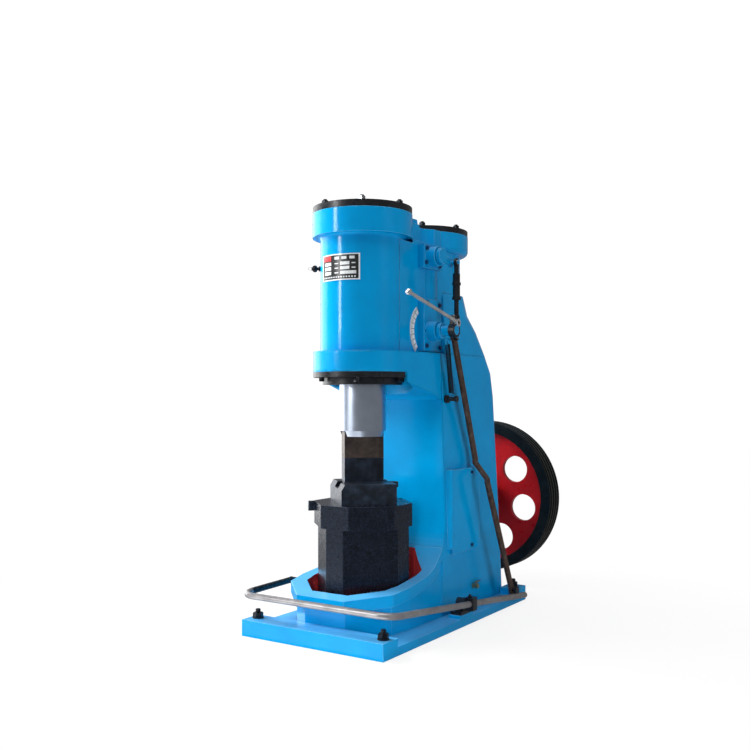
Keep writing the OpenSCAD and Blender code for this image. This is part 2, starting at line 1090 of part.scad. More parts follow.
base_plate();
pit_wall();
column();
head();
valve_block();
crank_shoulder();
ram_cylinder();
pump_cylinder();
ram_cover();
pump_cover();
gland_ring();
gland();
side_cover_right();
side_cover_left();
upper_valve_cover();
lower_valve_cover();
dial_plate();
name_plate();
oil_cock();
drain_cock();
anvil();
die_holder();
holder_key();
lower_die();
lower_die_key();
ram();
upper_die();
upper_die_key();
crank_bearing();
crankshaft();
pulley_rim();
pulley_web();
pivot_bracket_right();
pivot_bracket_left();
treadle_bar();
treadle_left_arm();
treadle_clamp_right();
treadle_clamp_left();
treadle_lug();
link_rod();
lower_valve_arm();
lever_hub();
hand_lever();
valve_rod();
upper_valve_arm();
return_spring();
spring_stud();
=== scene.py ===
"""Looks of a self-contained pneumatic forging hammer: enamel, castings, fasteners, plates and studio."""

import json
import math

import bmesh
import bpy
from bpy.props import FloatProperty, FloatVectorProperty, IntProperty, PointerProperty
from mathutils import Matrix, Vector


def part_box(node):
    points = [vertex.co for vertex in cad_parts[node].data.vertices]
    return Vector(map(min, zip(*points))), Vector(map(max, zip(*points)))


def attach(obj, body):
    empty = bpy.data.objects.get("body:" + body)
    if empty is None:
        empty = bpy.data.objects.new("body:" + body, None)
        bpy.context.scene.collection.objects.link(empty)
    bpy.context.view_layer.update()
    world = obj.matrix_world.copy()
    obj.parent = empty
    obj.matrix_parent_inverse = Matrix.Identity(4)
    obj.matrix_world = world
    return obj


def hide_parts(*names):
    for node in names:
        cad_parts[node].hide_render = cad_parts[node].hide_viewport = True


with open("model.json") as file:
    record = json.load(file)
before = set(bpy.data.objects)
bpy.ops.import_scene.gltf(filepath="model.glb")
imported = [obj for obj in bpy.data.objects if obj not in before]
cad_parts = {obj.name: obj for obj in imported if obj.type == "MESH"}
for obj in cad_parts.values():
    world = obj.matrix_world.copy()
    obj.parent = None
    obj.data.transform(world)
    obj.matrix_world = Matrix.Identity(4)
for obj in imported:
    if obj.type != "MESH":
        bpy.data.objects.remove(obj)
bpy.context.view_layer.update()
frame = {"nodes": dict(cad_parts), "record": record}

bl_info = {
    "name": "Pneumatic Forging Hammer Looks",
    "version": (1, 0, 0),
    "blender": (4, 5, 0),
    "location": "View3D > Sidebar > Hammer",
    "description": "Finishes, fasteners, spring, plates and studio for a packed forging hammer",
    "category": "Object",
}

MM = 0.001

# Sizes of the CAD that its boxes don't give, in millimetres: the ram cylinder's barrel, the data plate's
# thickness, the circle of the cover studs and how far these stand out, how far a side door's rolled edge
# stands proud, and the flanges of the valve covers and of the crank bearing.
BARREL_R = 158
PLATE_T = 2.5
STUD_CIRCLE = 158
STUD_OUT = 20
DOOR_ROLL = 2
COVER_FLANGE_T = 26
BEARING_FLANGE_T = 26

# Direction of the ram cylinder's front, in degrees from +X.
FRONT = -90
# Vertices closer than this are one, in metres.
MERGE = 1e-7
# Shares of a stud's radius: the bottom of its thread and its chamfered tip.
THREAD_ROOT = 0.86
STUD_TIP = 0.75
# Shares of a nut's width across flats: its washer's radius and thickness.
WASHER_R = 0.62
WASHER_T = 0.09
# Thickness of the washers under small screws and nuts, in millimetres.
SCREW_WASHER_T = 1.5
BOLT_WASHER_T = 2
# Share of a nut's height taken by its chamfered crown, and the crown's width at the top.
CROWN = 0.16
CROWN_TOP = 0.87


# ---- Small tools ----
def linear(code):
    """sRGB hex such as '0a86c8' to linear RGBA."""
    parts = [int(code[i : i + 2], 16) / 255 for i in (0, 2, 4)]
    return (*[c / 12.92 if c <= 0.04045 else ((c + 0.055) / 1.055) ** 2.4 for c in parts], 1.0)


def add(tree, kind, inputs=None, **settings):
    """Adds one node, sets its properties, and links or sets its inputs."""
    node = tree.nodes.new(kind)
    for key, value in settings.items():
        setattr(node, key, value)
    for key, value in (inputs or {}).items():
        if isinstance(value, bpy.types.NodeSocket):
            tree.links.new(value, node.inputs[key])
        else:
            node.inputs[key].default_value = value
    return node


def corners(node):
    """Lowest and highest corner of a CAD node's box, in millimetres to the micrometre."""
    return [Vector([round(value / MM, 3) for value in corner]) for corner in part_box(node)]


def joint_place(name):
    """Where a joint's axis runs, in millimetres."""
    joints = frame["record"]["behaviour"]["joints"]
    place = next(joint["pos_m"] for joint in joints if joint["name"] == name)
    return [round(value / MM, 3) for value in place]


def fractions(count):
    """Angles of a full turn in equal steps."""
    return [math.tau * i / count for i in range(count)]


def placed(x, y, z, axis="Z"):
    """Matrix that stands a shape made along +Z at a point in millimetres, along another axis."""
    turn = {
        "Z": Matrix.Identity(4),
        "-Z": Matrix.Rotation(math.pi, 4, "X"),
        "X": Matrix.Rotation(math.pi / 2, 4, "Y"),
        "-X": Matrix.Rotation(-math.pi / 2, 4, "Y"),
        "Y": Matrix.Rotation(-math.pi / 2, 4, "X"),
        "-Y": Matrix.Rotation(math.pi / 2, 4, "X"),
    }[axis]
    return Matrix.Translation(Vector((x, y, z)) * MM) @ turn


def lift(z):
    """Matrix that moves a shape out along its own axis, in millimetres."""
    return Matrix.Translation((0, 0, z * MM))


def settle(bm, matrix):
    """Moves the vertices made since the last call into place, and marks them as settled."""
    fresh = [v for v in bm.verts if not v.tag]
    bmesh.ops.transform(bm, matrix=matrix, verts=fresh)
    for v in fresh:
        v.tag = True
    return fresh


def lathe(bm, profile, matrix, steps=24):
    """Spins a profile of (radius, height) in millimetres round the local Z axis."""
    verts = [bm.verts.new((r * MM, 0, z * MM)) for r, z in profile]
    edges = [bm.edges.new(pair) for pair in zip(verts, verts[1:])]
    bmesh.ops.spin(
        bm,
        geom=verts + edges,
        cent=(0, 0, 0),
        axis=(0, 0, 1),
        angle=math.tau,
        steps=steps,
        use_merge=True,
        use_duplicate=False,
    )
    fresh = [v for v in bm.verts if not v.tag]
    bmesh.ops.remove_doubles(bm, verts=fresh, dist=MERGE)
    settle(bm, matrix)


def prism(bm, points, height, matrix):
    """Extrudes a flat outline of (x, y) in millimetres along the local Z axis."""
    face = bm.faces.new([bm.verts.new((x * MM, y * MM, 0)) for x, y in points])
    made = bmesh.ops.extrude_face_region(bm, geom=[face])["geom"]
    lifted = [g for g in made if isinstance(g, bmesh.types.BMVert)]
    bmesh.ops.translate(bm, vec=(0, 0, height * MM), verts=lifted)
    return settle(bm, matrix)


def hexagon(bm, flats, height, matrix):
    """Hexagonal nut or bolt head with its crown chamfered round."""
    r = flats / math.sqrt(3)
    points = [(r * math.cos(a), r * math.sin(a)) for a in fractions(6)]
    body = prism(bm, points, height * (1 - CROWN), Matrix.Identity(4))
    top = max(v.co.z for v in body)
    cap = [f for f in bm.faces if all(v in body and abs(v.co.z - top) < MERGE for v in f.verts)]
    made = bmesh.ops.extrude_face_region(bm, geom=cap)["geom"]
    ring = [g for g in made if isinstance(g, bmesh.types.BMVert)]
    bmesh.ops.delete(bm, geom=cap, context="FACES_ONLY")
    bmesh.ops.scale(bm, vec=(CROWN_TOP, CROWN_TOP, 1), verts=ring)
    bmesh.ops.translate(bm, vec=(0, 0, height * CROWN * MM), verts=ring)
    whole = body + ring
    bmesh.ops.transform(bm, matrix=matrix, verts=whole)
    for v in whole:
        v.tag = True


def stud_end(bm, r, height, matrix, pitch=2.0, root=THREAD_ROOT):
    """Threaded stud end with a chamfered tip."""
    profile = [(0, 0), (r, 0)]
    z = pitch
    while z < height - 1.5 * pitch:
        profile += [(r, z), (r * root, z + pitch / 2)]
        z += pitch
    profile += [(r, height - pitch), (r * STUD_TIP, height), (0, height)]
    lathe(bm, profile, matrix, 12)


def washer(bm, outer, inner, thick, matrix):
    """Flat washer between two radii."""
    lathe(bm, [(inner, 0), (outer, 0), (outer, thick), (inner, thick), (inner, 0)], matrix, 20)


def finish_piece(name, bm, body, finish, replaces=(), smooth=35):
    """Turns a bmesh into an object that rides on a body, with its normals outwards and its finish.

    Edges that turn by more than smooth, in degrees, stay sharp.
    """
    bmesh.ops.remove_doubles(bm, verts=bm.verts[:], dist=MERGE)
    bmesh.ops.recalc_face_normals(bm, faces=bm.faces[:])
    mesh = bpy.data.meshes.new(name)
    bm.to_mesh(mesh)
    bm.free()
    piece = bpy.data.objects.new(name, mesh)
    bpy.context.scene.collection.objects.link(piece)
    mesh.materials.append(bpy.data.materials[finish])
    for polygon in mesh.polygons:
        polygon.use_smooth = True
    mesh.set_sharp_from_angle(angle=math.radians(smooth))
    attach(piece, body)
    if replaces:
        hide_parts(*replaces)
    return piece


# ---- Finishes ----
def surface(
    name, shades, patch_mm, rough, metallic=0.0, bumps=(), edge=None, specks_and_glints=None, film=None, **constants
):
    """A procedural finish.

    shades: dark, mid and light sRGB hex, mixed by noise of patch_mm; rough: lowest and highest
    roughness; bumps: (feature in mm, depth in mm) pairs, coarse to fine; edge: (hex, radius in mm,
    strength) of a colour along edges, wear on most finishes and a painted highlight on the blue enamel;
    specks_and_glints: (hex, size in mm, share) of dust, rust or pits, and on the cast iron of painted glints;
    film: (hex, share) of a painted sheen on faces that look up; constants: other inputs of the shader,
    by name.
    """
    material = bpy.data.materials.new(name)
    material.use_nodes = True
    tree = material.node_tree
    tree.nodes.clear()
    place = add(tree, "ShaderNodeTexCoord").outputs["Object"]
    # Noise keeps mostly between 0.3 and 0.7, so the shades and the roughness are spread over that.
    patches = add(
        tree,
        "ShaderNodeTexNoise",
        {"Vector": place, "Scale": 1 / (patch_mm * MM), "Detail": 5.0, "Roughness": 0.6},
    )
    colours = add(tree, "ShaderNodeValToRGB", {"Fac": patches.outputs["Fac"]})
    ramp = colours.color_ramp
    ramp.elements[0].position, ramp.elements[1].position = 0.32, 0.7
    ramp.elements[0].color, ramp.elements[1].color = linear(shades[0]), linear(shades[2])
    ramp.elements.new(0.5).color = linear(shades[1])
    colour = colours.outputs["Color"]
    smears = add(
        tree,
        "ShaderNodeTexNoise",
        {"Vector": place, "Scale": 2.3 / (patch_mm * MM), "Detail": 3.0, "Distortion": 0.6},
    ).outputs["Fac"]
    dull = add(
        tree,
        "ShaderNodeMapRange",
        {"Value": smears, "From Min": 0.3, "From Max": 0.7, "To Min": rough[0], "To Max": rough[1]},
    ).outputs["Result"]
    normal = None
    layers = []
    if edge:
        # A colour along edges: wear on most finishes, and a painted highlight on the blue enamel.
        hex_code, radius, strength = edge
        normal = add(tree, "ShaderNodeBevel", {"Radius": radius * MM}, samples=4).outputs["Normal"]
        flat = add(tree, "ShaderNodeNewGeometry").outputs["Normal"]
        # The rounded normal leaves the flat one near an edge: their product falls from 1.
        turned = add(tree, "ShaderNodeVectorMath", {0: normal, 1: flat}, operation="DOT_PRODUCT")
        edge_wear_and_highlight = add(
            tree,
            "ShaderNodeMapRange",
            {
                "Value": turned.outputs["Value"],
                "From Min": 0.995,
                "From Max": 0.86,
                "To Min": 0.0,
                "To Max": strength,
            },
        ).outputs["Result"]
        broken = add(tree, "ShaderNodeMath", {0: edge_wear_and_highlight, 1: smears}, operation="MULTIPLY", use_clamp=True)
        layers.append((hex_code, broken.outputs[0]))
    if specks_and_glints:
        # Specks of dust, rust or pits; on the cast iron they are painted glints.
        hex_code, size, share = specks_and_glints
        dots = add(tree, "ShaderNodeTexNoise", {"Vector": place, "Scale": 1 / (size * MM), "Detail": 2.0})
        shown = add(
            tree,
            "ShaderNodeMapRange",
            {"Value": dots.outputs["Fac"], "From Min": 0.5, "From Max": 0.75, "To Min": 0.0, "To Max": share},
        )
        layers.append((hex_code, shown.outputs["Result"]))
    if film:
        # Painted sheen: a paler colour laid on faces that look up, where the light falls from above.
        hex_code, share = film
        facing = add(tree, "ShaderNodeNewGeometry").outputs["Normal"]
        upward = add(tree, "ShaderNodeSeparateXYZ", {0: facing}).outputs["Z"]
        # It starts on slopes of about 70 degrees and is full from 18 degrees down to level.
        top_sheen_share = add(
            tree,
            "ShaderNodeMapRange",
            {"Value": upward, "From Min": 0.3, "From Max": 0.95, "To Min": 0.0, "To Max": share},
        )
        layers.append((hex_code, top_sheen_share.outputs["Result"]))
    for hex_code, factor in layers:
        mixed = add(tree, "ShaderNodeMix", {"Factor": factor}, data_type="RGBA")
        tree.links.new(colour, mixed.inputs["A"])
        mixed.inputs["B"].default_value = linear(hex_code)
        colour = mixed.outputs["Result"]
    for feature, depth in bumps:
        grain = add(
            tree,
            "ShaderNodeTexNoise",
            {"Vector": place, "Scale": 1 / (feature * MM), "Detail": 3.0, "Roughness": 0.5},
        )
        raised = add(
            tree,
            "ShaderNodeBump",
            {"Height": grain.outputs["Fac"], "Distance": depth * MM, "Strength": 1.0},
        )
        if normal:
            tree.links.new(normal, raised.inputs["Normal"])
        normal = raised.outputs["Normal"]
    shader = add(tree, "ShaderNodeBsdfPrincipled", {"Metallic": metallic})
    for key, value in constants.items():
        shader.inputs[key.replace("_", " ")].default_value = value
    tree.links.new(colour, shader.inputs["Base Color"])
    tree.links.new(dull, shader.inputs["Roughness"])
    if normal:
        tree.links.new(normal, shader.inputs["Normal"])
        if constants.get("Coat_Weight"):
            tree.links.new(normal, shader.inputs["Coat Normal"])
    output = add(tree, "ShaderNodeOutputMaterial")
    tree.links.new(shader.outputs[0], output.inputs["Surface"])
    return material


def recolour(material, hex_code, factor):
    """Lays a second colour over a finish where a 0 to 1 factor socket says."""
    tree = material.node_tree
    shader = next(n for n in tree.nodes if n.type == "BSDF_PRINCIPLED")
    was = shader.inputs["Base Color"].links[0].from_socket
    mixed = add(tree, "ShaderNodeMix", {"Factor": factor}, data_type="RGBA")
    tree.links.new(was, mixed.inputs["A"])
    mixed.inputs["B"].default_value = linear(hex_code)
    tree.links.new(mixed.outputs["Result"], shader.inputs["Base Color"])


def retint(material, colour):
    """Sets the middle stop of a finish's colour ramp to a colour that the user can change."""
    ramp = next(n for n in material.node_tree.nodes if n.type == "VALTORGB").color_ramp
    ramp.elements[1].color = colour


def pit_mask(tree):
    """1 on the inner walls of the anvil pit, which face its axis and stand upright, and 0 elsewhere.

    The pit's axis is the frame's Z axis, so a wall that faces it has its normal against its own place.
    """
    geometry = add(tree, "ShaderNodeNewGeometry")
    place = add(tree, "ShaderNodeTexCoord").outputs["Object"]
    inward = add(
        tree,
        "ShaderNodeVectorMath",
        {0: geometry.outputs["True Normal"], 1: place},
        operation="DOT_PRODUCT",
    )
    upright = add(tree, "ShaderNodeSeparateXYZ", {0: geometry.outputs["True Normal"]})
    level = add(tree, "ShaderNodeMath", {0: upright.outputs["Z"]}, operation="ABSOLUTE")
    standing = add(tree, "ShaderNodeMath", {0: level.outputs[0], 1: 0.2}, operation="LESS_THAN")
    facing = add(tree, "ShaderNodeMath", {0: inward.outputs["Value"], 1: -0.02}, operation="LESS_THAN")
    both = {0: standing.outputs[0], 1: facing.outputs[0]}
    return add(tree, "ShaderNodeMath", both, operation="MULTIPLY").outputs[0]


# CAD nodes by finish.
NODES_OF = {
    "glossy_blue_enamel": (
        "base_plate ram_cylinder pump_cylinder valve_block side_cover_right side_cover_left "
        "upper_valve_cover lower_valve_cover crank_bearing lower_valve_arm upper_valve_arm"
    ),
    "frame_blue_enamel": "column head crank_shoulder",
    "pit_enamel": "pit_wall",
    # The treadle's left arm takes black enamel while the rest of the bar is chromed: painted shade on the run
    # that lies in shadow.
    "black_enamel": (
        "ram_cover pump_cover gland_ring gland pivot_bracket_right pivot_bracket_left "
        "treadle_clamp_right treadle_clamp_left treadle_lug treadle_left_arm lever_hub valve_rod "
        "spring_stud"
    ),
    "belt_pulley_enamel": "pulley_rim",
    "red_web_enamel": "pulley_web",
    "sand_cast_iron": "anvil",
    "planed_holder_steel": "die_holder holder_key lower_die_key upper_die_key",
    "blackened_die_steel": "lower_die",
    "tempered_die_steel": "upper_die",
    "ground_ram_steel": "ram",
    "turned_shaft_steel": "crankshaft",
    "chromed_pipe": "treadle_bar",
    "hand_polished_steel": "hand_lever",
    "hot_rolled_bar": "link_rod",
    "plate_print_white": "dial_plate name_plate",
    "cast_brass": "oil_cock drain_cock",
    "oiled_spring_wire": "return_spring",
}


class HammerSizes(bpy.types.PropertyGroup):
    """Sizes of the fasteners and small trim."""

    cover_nut: FloatProperty(
        name="Cover nut", description="Across flats of the cylinder cover nuts", default=0.024, unit="LENGTH"
    )
    anchor_nut: FloatProperty(
        name="Anchor nut", description="Across flats of the anchor nuts", default=0.034, unit="LENGTH"
    )
    small_head: FloatProperty(
        name="Small head", description="Across flats of the cover screws", default=0.013, unit="LENGTH"
    )
    spring_wire: FloatProperty(
        name="Spring wire", description="Wire diameter of the return spring", default=0.0026, unit="LENGTH"
    )
    spring_turns: IntProperty(
        name="Spring turns", description="Turns of the return spring", default=56, min=8
    )


class HammerColours(bpy.types.PropertyGroup):
    """Colours of the finishes that a user would change."""

    enamel: FloatVectorProperty(
        name="Enamel", description="Body enamel", subtype="COLOR", size=4, default=linear("0094d3")
    )
    web: FloatVectorProperty(
        name="Pulley web",
        description="Enamel of the pulley web",
        subtype="COLOR",
        size=4,
        default=linear("a4161b"),
    )


class HAMMER_OT_finishes(bpy.types.Operator):
    """Makes every finish and gives it to the CAD nodes"""

    bl_idname = "hammer.finishes"
    bl_label = "Finishes"

    def execute(self, context):
        # Sprayed alkyd enamel over filled cast iron: full gloss, with the casting's slow waves
        # (about 110 mm) and orange peel (drawn at 6 mm, since the real 2 mm is too fine to show).
        # The low index keeps the blue as deep as it looks in soft studio light.
        # The pale blue-white laid on faces that look up is a painted sheen.
        enamel = dict(bumps=((110, 0.35), (6, 0.006)), film=("e9f4fb", 0.09), IOR=1.25)
        blues = ("008fcd", "0094d3", "009ad9")
        colours = context.scene.hammer_colours
        # Along the edges of the glossy blue and the pit enamel, a pale blue is painted on as a highlight.
        surface("glossy_blue_enamel", blues, 160, (0.08, 0.16), edge=("9fdcf8", 3, 0.9), **enamel)
        surface("frame_blue_enamel", blues, 160, (0.12, 0.24), edge=("0094d3", 14, 0.0), **enamel)
        pit = surface("pit_enamel", blues, 160, (0.12, 0.24), edge=("9fdcf8", 4, 0.7), **enamel)
        recolour(pit, "e8474c", pit_mask(pit.node_tree))
        for name in ("glossy_blue_enamel", "frame_blue_enamel", "pit_enamel"):
            retint(bpy.data.materials[name], colours.enamel)
        # Black enamel on machined flanges and forgings, thin at the edges.
        surface(
            "black_enamel",
            ("0e1014", "15181d", "1f242b"),
            40,
            (0.25, 0.42),
            bumps=((14, 0.06), (2.5, 0.015)),
            edge=("4a4542", 1.4, 0.5),
            IOR=1.4,
        )
        # Black enamel on a turned pulley, rubbed by the belts.
        surface(
            "belt_pulley_enamel",
            ("0c0e0f", "111414", "181b1c"),
            60,
            (0.25, 0.4),
            bumps=((3, 0.01),),
            edge=("2c3032", 1.0, 0.3),
            IOR=1.35,
        )
        # Red enamel on the cast web.
        web = surface(
            "red_web_enamel",
            ("951318", "a4161b", "b21b20"),
            70,
            (0.25, 0.4),
            bumps=((30, 0.1),),
            edge=("c04a44", 2.0, 0.4),
            IOR=1.3,
        )
        retint(web, colours.web)
        # Green-sand casting under black paint: 5 mm grains and pits, with bluish specks that are painted
        # glints and a blue tint on its gloss that is a painted reflection.
        surface(
            "sand_cast_iron",
            ("040509", "070a10", "0c1119"),
            26,
            (0.2, 0.36),
            bumps=((40, 0.4), (7, 0.7), (3, 0.4)),
            edge=("4b5a72", 3.0, 0.5),
            specks_and_glints=("4a5c80", 4, 0.16),
            IOR=1.45,
            Specular_Tint=(0.62, 0.74, 1.0, 1.0),
        )
        # Planed steel blocks and driven keys, painted thin black.
        surface(
            "planed_holder_steel",
            ("181d26", "262f3d", "3a4658"),
            30,
            (0.28, 0.45),
            metallic=0.6,
            bumps=((16, 0.15), (2.5, 0.05)),
            edge=("8a93a0", 1.6, 0.7),
        )
        # Die steel blackened by oil and heat.
        surface(
            "blackened_die_steel",
            ("171b25", "222a38", "323d4f"),
            36,
            (0.3, 0.45),
            metallic=0.65,
            bumps=((20, 0.1), (2, 0.03)),
            edge=("6f7885", 1.2, 0.6),
        )
        # The upper die keeps a brown temper from hardening.
        surface(
            "tempered_die_steel",
            ("37302e", "4a413d", "5f544e"),
            42,
            (0.32, 0.5),
            metallic=0.6,
            bumps=((20, 0.1), (2, 0.03)),
            edge=("9a9088", 1.2, 0.6),
        )
        # Cylindrically ground steel: bright, with fine scratches and a film of oil. Its blue tint is a
        # painted reflection of the blue enamel round it.
        surface(
            "ground_ram_steel",
            ("acb7c9", "b8c3d4", "c4cedf"),
            140,
            (0.27, 0.33),
            metallic=1.0,
            bumps=((2.5, 0.0012),),
            edge=("d8dce0", 1.2, 0.4),
        )
        surface(
            "turned_shaft_steel",
            ("8b9197", "a2a8ae", "b9bfc5"),
            30,
            (0.25, 0.4),
            metallic=1.0,
            bumps=((2.5, 0.02),),
            edge=("d0d4d8", 1.0, 0.4),
        )
        # Bright drawn pipe with a thin plate of chrome and a few dull spots.
        surface(
            "chromed_pipe",
            ("7f7d7f", "8e8c8e", "9d9b9d"),
            45,
            (0.3, 0.38),
            metallic=0.6,
            bumps=((12, 0.003),),
        )
        # Lever polished by hands, bright along its whole length.
        surface(
            "hand_polished_steel",
            ("cccfd3", "dadde0", "e8eaec"),
            60,
            (0.2, 0.26),
            metallic=0.9,
            bumps=((25, 0.004),),
        )
        # Hot-rolled flat bar: brown mill scale and rust bloom.
        surface(
            "hot_rolled_bar",
            ("33261f", "4a3a32", "64524a"),
            28,
            (0.4, 0.65),
            metallic=0.35,
            bumps=((10, 0.15), (2.5, 0.08)),
            edge=("8b7468", 1.4, 0.7),
            specks_and_glints=("7a3f22", 9, 0.35),
        )
        # Screen print on anodised aluminium.
        surface("plate_print_white", ("c9ced2", "dde1e4", "eceff1"), 12, (0.25, 0.4), bumps=((5, 0.01),))
        surface("plate_print_black", ("101114", "17191c", "212429"), 10, (0.25, 0.4), bumps=((5, 0.01),))
        surface("plate_print_red", ("a81c20", "bf2428", "cf3136"), 10, (0.25, 0.4), bumps=((5, 0.01),))
        # Sand-cast brass, tarnished.
        surface(
            "cast_brass",
            ("7f7057", "a3926f", "c9bda2"),
            8,
            (0.25, 0.45),
            metallic=1.0,
            bumps=((3, 0.05),),
            edge=("e2dccb", 0.8, 0.6),
        )
        # Black-oxide fasteners: blue-black with bright corners.
        surface(
            "black_oxide_steel",
            ("121418", "1d2025", "2d3138"),
            7,
            (0.25, 0.42),
            metallic=0.8,
            bumps=((2, 0.03),),
            edge=("8d9299", 0.7, 0.8),
        )
        # Small dark blue screws with lighter blue edges.
        surface(
            "dark_blue_screws",
            ("06284a", "0a3a66", "0f4d84"),
            6,
            (0.25, 0.4),
            bumps=((2, 0.03),),
            edge=("2f7fb8", 0.6, 0.6),
            IOR=1.4,
        )
        # Zinc-plated fasteners, and the front nut of the ram cover, bright here as a painted highlight.
        surface(
            "bright_zinc_steel",
            ("7c8288", "969ca2", "b4b9be"),
            7,
            (0.2, 0.36),
            metallic=1.0,
            bumps=((2, 0.03),),
            edge=("eef0f2", 0.7, 0.5),
        )
        surface(
            "oiled_spring_wire",
            ("101114", "1a1c20", "2a2d33"),
            9,
            (0.25, 0.4),
            metallic=0.7,
            bumps=((2, 0.02),),
            edge=("5d626a", 0.5, 0.4),
        )
        for finish, names in NODES_OF.items():
            for name in names.split():
                mesh = frame["nodes"][name].data
                mesh.materials.clear()
                mesh.materials.append(bpy.data.materials[finish])
        return {"FINISHED"}


def nut_on_stud(bm, x, y, z, flats, height, stud, reach, turn, root=THREAD_ROOT):
    """Washer, hexagonal nut and threaded stud end standing at a point."""
    here = placed(x, y, z) @ Matrix.Rotation(turn, 4, "Z")
    washer(bm, flats * WASHER_R, stud, flats * WASHER_T, here)
    hexagon(bm, flats, height, here @ lift(flats * WASHER_T))
    stud_end(bm, stud, reach, here, root=root)


class HAMMER_OT_cover_nuts(bpy.types.Operator):
    """Nuts and stud ends round both cylinder covers"""

    bl_idname = "hammer.cover_nuts"
    bl_label = "Cover nuts"

    def execute(self, context):
        flats = context.scene.hammer_sizes.cover_nut / MM
        # Where the first nut of each cover stands, in degrees from +X.
        for node, name, first in (
            ("ram_cover", "ram_cover_nuts", -56.5),
            ("pump_cover", "pump_cover_nuts", -60),
        ):
            low, high = corners(node)
            centre = (low + high) / 2
            dark, bright = bmesh.new(), bmesh.new()
            for i, step in enumerate(fractions(6)):
                a = math.radians(first) + step
                # The front nut of the ram cover takes the bright finish while the others are black oxide: a
                # painted highlight.
                target = bright if node == "ram_cover" and i == 0 else dark
                x = centre.x + STUD_CIRCLE * math.cos(a)
                y = centre.y + STUD_CIRCLE * math.sin(a)
                # The sleeve of thread is 0.4 mm proud of the CAD stud and ends just under its tip.
                nut_on_stud(
                    target,
                    x,
                    y,
                    high.z - STUD_OUT,
                    flats,
                    height=13,
                    stud=7.4,
                    reach=STUD_OUT - 0.2,
                    turn=a,
                    root=0.96,
                )
            finish_piece(name, dark, "frame", "black_oxide_steel")
            if len(bright.verts):
                finish_piece("ram_cover_bright_nut", bright, "frame", "bright_zinc_steel")
            else:
                bright.free()
        return {"FINISHED"}


class HAMMER_OT_anchor_bolts(bpy.types.Operator):
    """Anchor nuts and studs on the base pads"""

    bl_idname = "hammer.anchor_bolts"
    bl_label = "Anchor bolts"

    def execute(self, context):
        flats = context.scene.hammer_sizes.anchor_nut / MM
        bm = bmesh.new()
        low, high = corners("base_plate")
        side, front, rear = 33, 52, 53
        for x in (low.x + side, high.x - side):
            for y in (low.y + front, high.y - rear):
                # Each nut has stopped at its own angle.
                nut_on_stud(bm, x, y, high.z, flats, height=18, stud=10, reach=34, turn=0.3 + 0.002 * x)
        finish_piece("anchor_nuts", bm, "frame", "black_oxide_steel")
        return {"FINISHED"}


class HAMMER_OT_gland_bolts(bpy.types.Operator):
    """Hexagonal heads under the gland ring and the grease nipple on the gland"""

    bl_idname = "hammer.gland_bolts"
    bl_label = "Gland bolts"

    def execute(self, context):
        low, high = corners("gland_ring")
        circle = high.x - 18
        bm = bmesh.new()
        for a in fractions(6):
            here = placed(circle * math.cos(a), circle * math.sin(a), low.z, "-Z")
            washer(bm, outer=13, inner=6, thick=BOLT_WASHER_T, matrix=here)
            hexagon(bm, flats=19, height=13, matrix=here @ lift(BOLT_WASHER_T))
        finish_piece("gland_bolts", bm, "frame", "black_oxide_steel")
        # The nipple stands in the gland's side, half way up.
        low, high = corners("gland")
        side = Matrix.Rotation(math.radians(-66), 4, "Z") @ placed(high.x - 1, 0, (low.z + high.z) / 2, "X")
        bm = bmesh.new()
        lathe(bm, [(0, 0), (5, 0), (5, 5), (3, 6), (3, 9), (4, 10), (4, 12), (0, 13)], side, 12)
        finish_piece("gland_nipple", bm, "frame", "bright_zinc_steel")
        return {"FINISHED"}


def cap_screw(bm, flats, matrix):
    """Small hexagonal cover screw on a washer."""
    washer(bm, outer=flats * 0.75, inner=flats * 0.3, thick=SCREW_WASHER_T, matrix=matrix)
    hexagon(bm, flats, height=flats * 0.6, matrix=matrix @ lift(SCREW_WASHER_T))


class HAMMER_OT_cover_screws(bpy.types.Operator):
    """Screws of the valve covers, side covers and crank bearing"""

    bl_idname = "hammer.cover_screws"
    bl_label = "Cover screws"

    def execute(self, context):
        flats = context.scene.hammer_sizes.small_head / MM
        bm = bmesh.new()
        # Back and up from the low front corner of each cover. The lower cover's third screw is inside the
        # boss round the valve, where it doesn't show.
        for cover, places in (
            ("upper_valve_cover", ((20, 76), (112, 73), (16, 21), (118, 18))),
            ("lower_valve_cover", ((18, 185), (117, 181), (18, 77), (18, 21), (117, 17))),
        ):
            low = corners(cover)[0]
            for back, up in places:
                cap_screw(bm, flats, placed(low.x + COVER_FLANGE_T, low.y + back, low.z + up, "X"))
        finish_piece("valve_cover_screws", bm, "frame", "dark_blue_screws")
        bm = bmesh.new()
        low, high = corners("side_cover_right")
        for side, axis in ((1, "X"), (-1, "-X")):
            for z in (low.z + 18, high.z - 20):
                cap_screw(bm, flats=11, matrix=placed(side * (high.x - DOOR_ROLL), high.y - 70, z, axis))
        finish_piece("side_cover_screws", bm, "frame", "dark_blue_screws")
        bm = bmesh.new()
        low, high = corners("crank_bearing")
        circle = high.x - 24
        shaft_z = joint_place("pulley_spin")[2]
        for step in fractions(6):
            a = math.radians(30) + step
            x, z = circle * math.cos(a), shaft_z + circle * math.sin(a)
            cap_screw(bm, flats=19, matrix=placed(x, low.y + BEARING_FLANGE_T, z, "Y"))
        finish_piece("bearing_screws", bm, "frame", "black_oxide_steel")
        return {"FINISHED"}


def curved_patch(bm, inner, outer, bottom, top, first, last, steps):
    """Thin panel bent round the ram axis, between two radii, two heights and two angles in degrees."""
    ring = [(inner, bottom), (outer, bottom), (outer, top), (inner, top)]
    start = Matrix.Rotation(math.radians(first), 4, "Z")
    verts = [bm.verts.new(start @ Vector((r * MM, 0, z * MM))) for r, z in ring]
    face = bm.faces.new(verts)
    bmesh.ops.spin(
        bm,
        geom=[face],
        cent=(0, 0, 0),
        axis=(0, 0, 1),
        angle=math.radians(last - first),
        steps=steps,
        use_merge=False,
        use_duplicate=False,
    )


